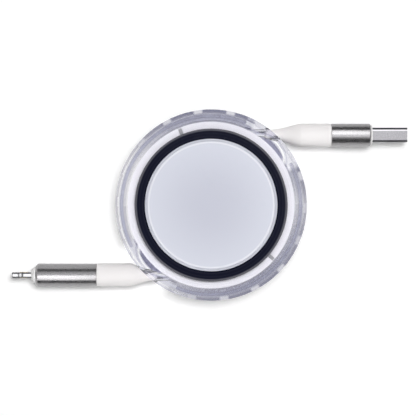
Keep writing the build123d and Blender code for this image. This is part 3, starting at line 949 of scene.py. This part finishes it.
@dataclass
class Boot:
    """Soft strain relief that swells from a flat tail to the size of its sleeve."""

    side: Side
    taper_length: float
    taper_ease: float = 1.5
    taper_power: float = 3.0
    tail_thickness: float = 2.8 * MM
    tail_height: float = 9.0 * MM
    tail_lean: float = 0.3 * MM
    lip_length: float = 0.45 * MM
    groove_length: float = 0.2 * MM
    groove_depth: float = 0.16 * MM
    body_inset: float = 0.04 * MM
    tail_round: float = 0.25 * MM
    taper_steps: int = 16
    sides: int = 64
    smooth_angle: float = 11.0

    @property
    def node(self) -> str:
        """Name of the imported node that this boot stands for."""
        return f"{self.side.name.lower()}_boot"

    def _outline(self, middle: Vector, thickness: float, height: float) -> Piece:
        """Add the boot's full section: a circle whose halves are moved apart.

        Args:
            middle: Middle of the section.
            thickness: Size across the flat of the plug.
            height: Size along Z.

        Returns:
            The section, as a loop of edges.
        """
        Bench.clear()
        bpy.ops.mesh.primitive_circle_add(
            vertices=self.sides, radius=thickness / 2, location=middle, rotation=(0, math.pi / 2, 0)
        )
        piece = Bench.adopt(f"{self.node}_piece")
        half_step = math.pi / self.sides
        with Bench.editing(piece, Element.VERT):
            bpy.ops.transform.rotate(value=half_step, orient_axis="X", center_override=middle)
            self._part_halves(piece, middle, (height - thickness) / 2)
        return piece

    @staticmethod
    def _part_halves(piece: Piece, middle: Vector, shift: float) -> None:
        """Move the upper and lower halves of one section apart, and select it all again.

        Args:
            piece: The boot, open in edit mode.
            middle: Middle of the section.
            shift: How far each half moves.
        """
        for way in (1, -1):
            Bench.pick(
                piece, Element.VERT, lambda p: abs(p.x - middle.x) < TOUCH and (p.z - middle.z) * way > 0
            )
            bpy.ops.transform.translate(value=(0, 0, way * shift))
        Bench.pick(piece, Element.EDGE, lambda p: abs(p.x - middle.x) < TOUCH)

    def _sections(self, thickness: float, height: float, length: float) -> list[Section]:
        """List the sections after the first, from the sleeve to the tail.

        Args:
            thickness: Full thickness.
            height: Full height.
            length: Whole length of the boot.

        Returns:
            Distance from the sleeve, thickness and height of each section.
        """
        groove = self.lip_length + self.groove_length
        depths = (
            (self.lip_length, 0.0),
            (self.lip_length, self.groove_depth),
            (groove, self.groove_depth),
            (groove + self.groove_depth / 2, self.body_inset),
        )
        rows = [(place, thickness - 2 * inset, height - 2 * inset) for place, inset in depths]
        shoulder = length - self.taper_length
        for step in range(self.taper_steps + 1):
            share = 1 - step / self.taper_steps
            swell = (1 - (1 - share) ** self.taper_ease) ** self.taper_power
            rows.append((
                shoulder + (1 - share) * self.taper_length,
                self.tail_thickness + (thickness - 2 * self.body_inset - self.tail_thickness) * swell,
                self.tail_height + (height - 2 * self.body_inset - self.tail_height) * swell,
            ))
        rounded = 2 * self.tail_round
        rows[-1] = (length - self.tail_round, rows[-1][1], rows[-1][2])
        rows.append((length, self.tail_thickness - rounded, self.tail_height - rounded))
        return rows

    def build(self, material: Finish) -> Piece:
        """Model the boot from its sleeve to its tail.

        Args:
            material: Its finish.

        Returns:
            The piece.
        """
        low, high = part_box(self.node)
        way = self.side.value
        middle = (low + high) / 2
        middle.x = high.x if way > 0 else low.x
        thickness, height = high.y - low.y, high.z - low.z
        piece = self._outline(middle, thickness, height)
        start_x = middle.x
        with Bench.editing(piece, Element.EDGE):
            last = (0.0, thickness, height)
            for row in self._sections(thickness, height, high.x - low.x):
                lean = way * self.tail_lean * (last[1] - row[1]) / (thickness - self.tail_thickness)
                Bench.pull(Vector((-way * (row[0] - last[0]), lean, 0)))
                middle.x = start_x - way * row[0]
                middle.y += lean
                factor = row[1] / last[1]
                bpy.ops.transform.resize(value=(1, factor, factor), center_override=middle)
                self._part_halves(piece, middle, (row[2] - last[2] * factor) / 2)
                last = row
            bpy.ops.mesh.edge_face_add()
            Bench.cap(piece, lambda p: abs(p.x - start_x) < TOUCH)
        Bench.finish(piece, self.smooth_angle, material, Slot.BOOT)
        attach(piece, Body[self.side.name].value)
        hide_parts(self.node)
        return piece


@dataclass
class CapClip:
    """Moulded clip that fills one slot of the reel's cap, grey as painted shade in the slot."""

    angle: float
    reach: Span = (24.15 * MM, 25.95 * MM)
    width: float = 1.0 * MM
    height: float = 0.9 * MM
    sunk: float = 0.45 * MM
    bevel: float = 0.15 * MM
    smooth_angle: float = 35.0

    def build(self, material: Finish) -> Piece:
        """Model the clip, turned to its slot.

        Args:
            material: Its finish.

        Returns:
            The piece.
        """
        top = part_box("reel_cap")[1].z - self.sunk
        inner, outer = self.reach
        half = self.width / 2
        piece = Bench.block("cap_clip_piece", (inner, -half, top - self.height), (outer, half, top))
        turn = -math.radians(self.angle)
        with Bench.editing(piece, Element.EDGE):
            bpy.ops.mesh.bevel(offset=self.bevel, segments=2)
            bpy.ops.mesh.select_all(action="SELECT")
            bpy.ops.transform.rotate(value=turn, orient_axis="Z", center_override=(0, 0, 0))
        Bench.finish(piece, self.smooth_angle, material, Slot.REEL)
        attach(piece, Body.REEL.value)
        return piece


@dataclass
class FlatCable:
    """The flat cable: two strands wound side by side on the reel, and a lead to each plug."""

    thickness: float = 1.2 * MM
    jacket: float = 1.1 * MM
    width: float = 5.0 * MM
    coil_radius: float = 26.0 * MM
    boot_tail: float = 17.1 * MM
    bend_reach: float = 1.6 * MM
    bend_share: float = 0.9
    half_turns: int = 7
    turn_steps: int = 36
    bend_steps: int = 5
    slide_start: float = 15.2 * MM
    slide_end: float = 20.2 * MM
    slide_steps: int = 30
    fold_size: Span = (2.4 * MM, 2.2 * MM)
    fold_radius: float = 16.0 * MM
    smooth_angle: float = 40.0

    @property
    def lead_radius(self) -> float:
        """Radius of the outermost strand's middle where it leaves the coil."""
        return self.coil_radius - self.thickness / 2

    @property
    def corner(self) -> Vector:
        """Where the run from the coil meets the plug's axis."""
        return Vector((self.boot_tail - self.bend_reach, PLUG_OFFSET, HALF_HEIGHT))

    @property
    def lead_angle(self) -> float:
        """Angle at which a straight run to the corner leaves the coil."""
        corner = self.corner.xy
        return math.atan2(corner.y, corner.x) + math.acos(self.lead_radius / corner.length)

    def _polar(self, radius: float, angle: float) -> Vector:
        """Give the point at a radius and angle, at the height of the cable."""
        return Vector((radius * math.cos(angle), radius * math.sin(angle), HALF_HEIGHT))

    def _strand(self, start: float) -> Piece:
        """Wind one strand inwards, half a turn about each of two centres in turn.

        Args:
            start: Angle at which the strand leaves the coil.

        Returns:
            The strand.
        """
        first = self._polar(self.lead_radius, start)
        piece = Bench.strip("cable_strand", first, start + math.pi / 2, (self.jacket, self.width))
        with Bench.editing(piece, Element.EDGE):
            for half_turn in range(self.half_turns):
                shift = self.thickness / 2 * (-1) ** half_turn
                Bench.turn(math.pi, self._polar(shift, start), self.turn_steps)
            bpy.ops.mesh.edge_face_add()
            radial = first.xy.normalized()
            reach = first.xy.length
            Bench.cap(
                piece,
                lambda p: abs(p.xy.cross(radial)) < TOUCH and abs(p.xy @ radial - reach) < MM / 2,
            )
        return piece

    def coil(self, material: Finish) -> Piece:
        """Wind both strands and add the fold that the hub holds.

        Args:
            material: Finish of the jacket.

        Returns:
            The piece.
        """
        strands = [self._strand(self.lead_angle + turn) for turn in (0, math.pi)]
        across, deep = self.fold_size
        half_width = self.width / 2
        fold = Bench.block(
            "cable_fold",
            (-across / 2, self.fold_radius - deep / 2, HALF_HEIGHT - half_width),
            (across / 2, self.fold_radius + deep / 2, HALF_HEIGHT + half_width),
        )
        with Bench.editing(fold, Element.EDGE):
            bpy.ops.mesh.bevel(offset=JACKET_ROUND * self.thickness, segments=3)
        Bench.clear()
        for part in (*strands, fold):
            part.select_set(True)
        bpy.context.view_layer.objects.active = strands[0]
        bpy.ops.object.join()
        piece = strands[0]
        piece.name = "wound_cable_piece"
        Bench.finish(piece, self.smooth_angle, material, Slot.CABLE)
        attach(piece, Body.REEL.value)
        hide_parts("cable_coil")
        return piece

    def lead(self, side: Side, material: Finish) -> Piece:
        """Run a lead from the coil to its plug: straight, a small bend, then along the plug.

        Args:
            side: The plug that it serves.
            material: Finish of the jacket.

        Returns:
            The piece.
        """
        way = side.value
        mirror = Vector((way, way, 1))
        start = self._polar(self.lead_radius, self.lead_angle) * mirror
        corner = self.corner * mirror
        run = corner - start
        bend = math.pi / 2 - self.lead_angle
        heading = math.atan2(run.y, run.x)
        reach = self.bend_share * self.bend_reach
        bend_radius = reach / math.tan(abs(bend) / 2)
        name = f"{side.name.lower()}_lead"
        piece = Bench.strip(f"{name}_piece", start, heading, (self.jacket, self.width))
        bend_start = corner - run.normalized() * reach
        square = Vector((-math.sin(heading), math.cos(heading), 0))
        with Bench.editing(piece, Element.EDGE):
            Bench.pull(bend_start - start)
            Bench.turn(bend, bend_start + square * bend_radius, self.bend_steps)
            along = Vector((way, 0, 0))
            end_x = self.slide_end + self.bend_reach
            first_x = self.corner.x + reach
            for _ in range(self.slide_steps):
                Bench.pull(along * (end_x - first_x) / self.slide_steps)
            bpy.ops.mesh.edge_face_add()
            Bench.cap(piece, lambda p: abs((p - start) @ run.normalized()) < TOUCH)
        Bench.finish(piece, self.smooth_angle, material, Slot.CABLE)
        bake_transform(piece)
        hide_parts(name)
        return piece


@dataclass
class Studio:
    """White floor, soft overhead light and a camera that looks almost straight down."""

    view_width: float = 130.4 * MM
    lens: float = 200.0
    sensor: float = 36.0
    aim: Point = (-1.0 * MM, -0.93 * MM, 16.0 * MM)
    tilt_back: float = 0.1
    tilt_left: float = 0.3
    floor_size: float = 6.0
    dome_stops: tuple[float, ...] = (0.0, 0.2, 0.72, 0.92)
    dome_blue: float = 1.02

    def floor(self, material: Finish) -> None:
        """Lay the floor at the level that the case stands on.

        Args:
            material: Finish of the paper.
        """
        Bench.clear()
        bpy.ops.mesh.primitive_plane_add(size=self.floor_size)
        floor = Bench.adopt("studio_floor")
        floor.data.materials.append(material)

    def lamp(self, name: str, role: Role, aim: Point, away: Point, size: Span, level: float) -> None:
        """Hang a soft lamp that points at a place.

        Args:
            name: Lamp name.
            role: Whether it lights the object or only shows in what shines.
            aim: The place that it points at.
            away: From that place to the lamp.
            size: Its width along X and its length.
            level: Brightness of its face, where 1 is a lit white sheet.
        """
        Bench.clear()
        offset = Vector(away)
        bpy.ops.object.light_add(type="AREA", location=Vector(aim) + offset)
        lamp = bpy.context.active_object
        lamp.name = name
        lamp.data.shape = "RECTANGLE"
        lamp.data.size, lamp.data.size_y = size
        lamp.data.energy = level * math.pi * size[0] * size[1]
        lamp.rotation_euler = offset.to_track_quat("Z", "Y").to_euler()
        lamp.visible_diffuse = role is Role.LIGHT
        lamp.visible_glossy = role is Role.CARD
        lamp.visible_transmission = role is Role.CARD

    def sky(self, fill: float, zenith: float, dark: float, horizon: float, through: float) -> None:
        """Fill the world with soft light, and with a banded dome for what shines.

        Args:
            fill: Level of the soft light.
            zenith: Level of the dome straight up.
            dark: Level in its dim belt.
            horizon: Level at its horizon and below.
            through: Level all round as seen through clear plastic.
        """
        world = bpy.data.worlds.new("studio_dome")
        bpy.context.scene.world = world
        world.use_nodes = True
        graph = Graph(world.node_tree)
        upward = graph.split(graph.node("TexCoord").outputs["Generated"])["Z"]
        ramp = graph.node("ValToRGB", {"Fac": upward})
        elements = ramp.color_ramp.elements
        while len(elements) < len(self.dome_stops):
            elements.new(1.0)
        for element, place, level in zip(elements, self.dome_stops, (horizon, dark, dark, zenith)):
            element.position = place
            element.color = (level, level, level * self.dome_blue, 1.0)
        dome = graph.node("Background", {"Color": ramp.outputs["Color"]})
        backdrop = graph.node("Background", {"Strength": through})
        lit = graph.node("Background", {"Strength": fill}).outputs[0]
        path = graph.node("LightPath").outputs
        for ray, level in (("Is Glossy Ray", dome), ("Is Transmission Ray", backdrop)):
            lit = graph.blend(path[ray], lit, level.outputs[0])
        graph.node("OutputWorld", {"Surface": lit})

    def camera(self) -> None:
        """Place the camera above the case, with +Y upwards in the picture."""
        Bench.clear()
        distance = self.lens * self.view_width / self.sensor
        left, back = (math.tan(math.radians(tilt)) for tilt in (self.tilt_left, self.tilt_back))
        away = Vector((-left, -back, 1.0)).normalized()
        bpy.ops.object.camera_add(location=Vector(self.aim) + away * distance)
        camera = bpy.context.active_object
        camera.name = "photo_camera"
        camera.data.lens = self.lens
        camera.data.sensor_width = self.sensor
        camera.data.dof.use_dof = False
        camera.data.clip_start = 1 * MM
        right = Vector((0, 1, 0)).cross(away).normalized()
        turned = Matrix((right, away.cross(right), away)).transposed()
        camera.rotation_euler = turned.to_euler()
        bpy.context.scene.camera = camera


def dress_nodes(finishes: dict[str, Finish]) -> None:
    """Give each CAD node that stays its finish.

    Args:
        finishes: Materials by the record's slot names.
    """
    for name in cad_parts:
        node = bpy.data.objects[name]
        for slot in node.material_slots:
            if slot.material is not None and slot.material.name in finishes:
                slot.material = finishes[slot.material.name]


def make_finishes() -> dict[str, Finish]:
    """Build every finish of the object.

    Returns:
        Materials by the record's slot names, and the clips' own.
    """
    plans = {
        "clear_plastic": ClearPlastic(
            "clear_violet",
            plate_tint=(0.97, 0.97, 0.98),
            # deeper violet with painted shade on the wall's flat ends
            wall_tint_and_shade=(0.56, 0.555, 0.605),
            # painted shade over the cored groove
            groove_painted_shade=(0.665, 0.67, 0.75),
            # painted shade on the wall's ends towards +Y, -Y and +X
            upright_painted_shade=(0.212, 0.215, 0.31),
            # painted shade on the outlet blocks
            block_painted_shade=(0.68, 0.68, 0.75),
            # painted shade on the pocket and lip arcs
            arc_painted_shade=(0.42, 0.42, 0.53),
            # painted highlight on the flare arc
            flare_painted_highlight=(0.98, 0.98, 0.99),
            # painted highlight on the rim, strongest towards -X
            rim_painted_highlight=(0.98, 0.98, 0.99),
            # painted shade in dashes over the notches
            notch_painted_shade=(0.74, 0.74, 0.79),
            plate_shade=0.98,
            wall_shade=0.5,
            ior=1.5,
            roughness=(0.01, 0.04),
        ),
        # Disc: lighter towards its edge as a painted reflection, with a painted highlight line at 19.62 mm
        # and a painted shade line at 20.2 mm.
        "white_disc": TurnedPlastic(
            "satin_disc", (0.594, 0.608, 0.70), (0.717, 0.738, 0.826), inner=2 * MM, outer=26 * MM,
            pitch=0.5 * MM, depth=0.0005 * MM, roughness=(0.30, 0.38), coat=0.2,
            lines=(
                (19.62 * MM, 0.26 * MM, (0.82, 0.83, 0.90)),
                (20.2 * MM, 0.2 * MM, (0.60, 0.61, 0.68)),
            ),
        ),
        # Ring: the grey outer bevel is a painted highlight, and the two faint lighter lines are painted
        # highlights.
        "black_ring": TurnedPlastic(
            "gloss_black", (0.0035, 0.0045, 0.016), (0.12, 0.12, 0.14), inner=23.1 * MM, outer=23.6 * MM,
            pitch=0.35 * MM, depth=0.002 * MM, roughness=(0.12, 0.18), specular=0.08,
            lines=(
                (21.5 * MM, 0.12 * MM, (0.013, 0.014, 0.026)),
                (22.55 * MM, 0.12 * MM, (0.011, 0.012, 0.024)),
            ),
        ),
        "screw_steel": BrushedMetal(
            "screw_steel_finish", (0.55, 0.55, 0.56), (0.4, 0.4, 0.41), (0.25, 0.4)
        ),
        # Reel cap: darker inwards beside the ring, as painted shade.
        "white_reel": TurnedPlastic(
            "white_reel_moulding", (0.705, 0.695, 0.75), (0.79, 0.78, 0.835), inner=24 * MM, outer=26 * MM,
            pitch=0.72 * MM, depth=0.03 * MM, roughness=(0.3, 0.42),
        ),
        "white_cable": MouldedPlastic(
            "white_jacket", (0.80, 0.80, 0.82), (0.76, 0.76, 0.79), (0.48, 0.6)
        ),
        "spring_steel": BrushedMetal("blued_strip", (0.42, 0.43, 0.46), (0.3, 0.31, 0.34), (0.25, 0.4)),
        "ball_steel": BrushedMetal(
            "ball_polish", (0.7, 0.7, 0.71), (0.66, 0.66, 0.67), (0.05, 0.09), line_depth=0.0, pit_depth=0.0
        ),
        "white_boot": MouldedPlastic(
            "soft_white_boot", (0.965, 0.94, 0.94), (0.935, 0.91, 0.91), (0.42, 0.55)
        ),
        "brushed_sleeve": BrushedMetal(
            "brushed_aluminium", (0.48, 0.47, 0.48), (0.26, 0.255, 0.26), (0.22, 0.34),
            line_depth=0.00008 * MM, pit_depth=0.0015 * MM,
        ),
        "white_core": MouldedPlastic(
            "white_core_moulding", (0.92, 0.91, 0.91), (0.88, 0.87, 0.87), (0.35, 0.45)
        ),
        # Shell: dark long corners are painted shade, and the light line beside the +Y corner is a painted
        # highlight.
        "plug_shell": BrushedMetal(
            "nickel_shell", (0.78, 0.77, 0.80), (0.24, 0.235, 0.25), (0.44, 0.56), along=2500.0,
            line_depth=0.001 * MM, pit_depth=0.006 * MM, edge=(1.62 * MM, 5.4 * MM),
            glint_colour=(0.99, 0.98, 1.0),
        ),
        "plug_tongue": MouldedPlastic(
            "tongue_moulding", (0.72, 0.72, 0.74), (0.68, 0.68, 0.7), (0.4, 0.5)
        ),
        "gold_contact": BrushedMetal("gold_plate", (0.80, 0.69, 0.47), (0.68, 0.57, 0.37), (0.15, 0.25)),
        # Tab: dark long corners are painted shade.
        "plug_tab": BrushedMetal(
            "nickel_tab", (0.86, 0.86, 0.87), (0.72, 0.72, 0.73), (0.3, 0.42), edge=(0.4 * MM, 2.8 * MM)
        ),
        # Grey clips: painted shade for white clips sunk in the cap's slots.
        "cap_clip": MouldedPlastic("clip_painted_shade", (0.36, 0.36, 0.39), (0.32, 0.32, 0.35), (0.4, 0.5)),
    }
    return {slot: plan.make() for slot, plan in plans.items()}


def set_up_view() -> None:
    """Show colours as they are written, and follow light far enough through the clear walls."""
    scene = bpy.context.scene
    scene.view_settings.view_transform = "Standard"
    scene.cycles.max_bounces = 24
    scene.cycles.glossy_bounces = 16
    scene.cycles.transmission_bounces = 24
    scene.cycles.transparent_max_bounces = 32


def set_up_studio() -> None:
    """Lay the floor, then place the sky, the lamps and the camera."""
    studio = Studio()
    paper = FloorPaper(
        "studio_paper", (0.92, 0.92, 0.92), near_glow=0.16, far_glow=0.6, far_reach=1.2, through_share=0.9
    )
    studio.floor(paper.make())
    studio.sky(fill=0.22, zenith=0.9, dark=0.11, horizon=0.26, through=1.0)
    studio.lamp(
        "overhead_lamp", Role.LIGHT, aim=(0, 0, 0), away=(0.055, 0.085, 0.9), size=(0.17, 0.17), level=68.0
    )
    studio.lamp(
        "front_lamp", Role.LIGHT, aim=(0, 0, 8 * MM), away=(0, -3.0, 0.5), size=(1.5, 0.4), level=7.5
    )
    overhead = (0, 0, 0.14)
    studio.lamp(
        "charger_card", Role.CARD, aim=(51 * MM, 100 * MM, 8 * MM), away=overhead,
        size=(0.02, 0.14), level=4.8,
    )
    studio.lamp(
        "charger_low_card", Role.CARD, aim=(51 * MM, 0, 8 * MM), away=overhead,
        size=(0.02, 0.06), level=1.6,
    )
    studio.lamp(
        "device_card", Role.CARD, aim=(-57 * MM, -119 * MM, 8 * MM), away=overhead,
        size=(0.028, 0.178), level=4.0,
    )
    beside = (0, 60 * MM, 12 * MM)
    studio.lamp(
        "device_side_card", Role.CARD, aim=(-50 * MM, -22 * MM, 12 * MM), away=beside,
        size=(0.03, 0.024), level=0.8,
    )
    studio.camera()


def main() -> None:
    """Build the classes in order and report each piece."""
    logging.basicConfig(level=logging.INFO, format="%(name)s: %(message)s")
    set_up_view()
    finishes = make_finishes()
    dress_nodes(finishes)
    pieces: list[Piece] = []
    for face in Face:
        trim = TrimFace(face)
        pieces += [trim.disc(finishes["white_disc"]), trim.ring(finishes["black_ring"])]
    boots = (Boot(Side.CHARGER, taper_length=11.2 * MM), Boot(Side.DEVICE, taper_length=8.4 * MM))
    pieces += [boot.build(finishes["white_boot"]) for boot in boots]
    pieces += [CapClip(angle).build(finishes["cap_clip"]) for angle in CLIP_ANGLES]
    cable = FlatCable()
    pieces.append(cable.coil(finishes["white_cable"]))
    pieces += [cable.lead(side, finishes["white_cable"]) for side in Side]
    for piece in pieces:
        log.info("%s: %d faces", piece.name, len(piece.data.polygons))
    set_up_studio()


if __name__ == "__main__":
    main()
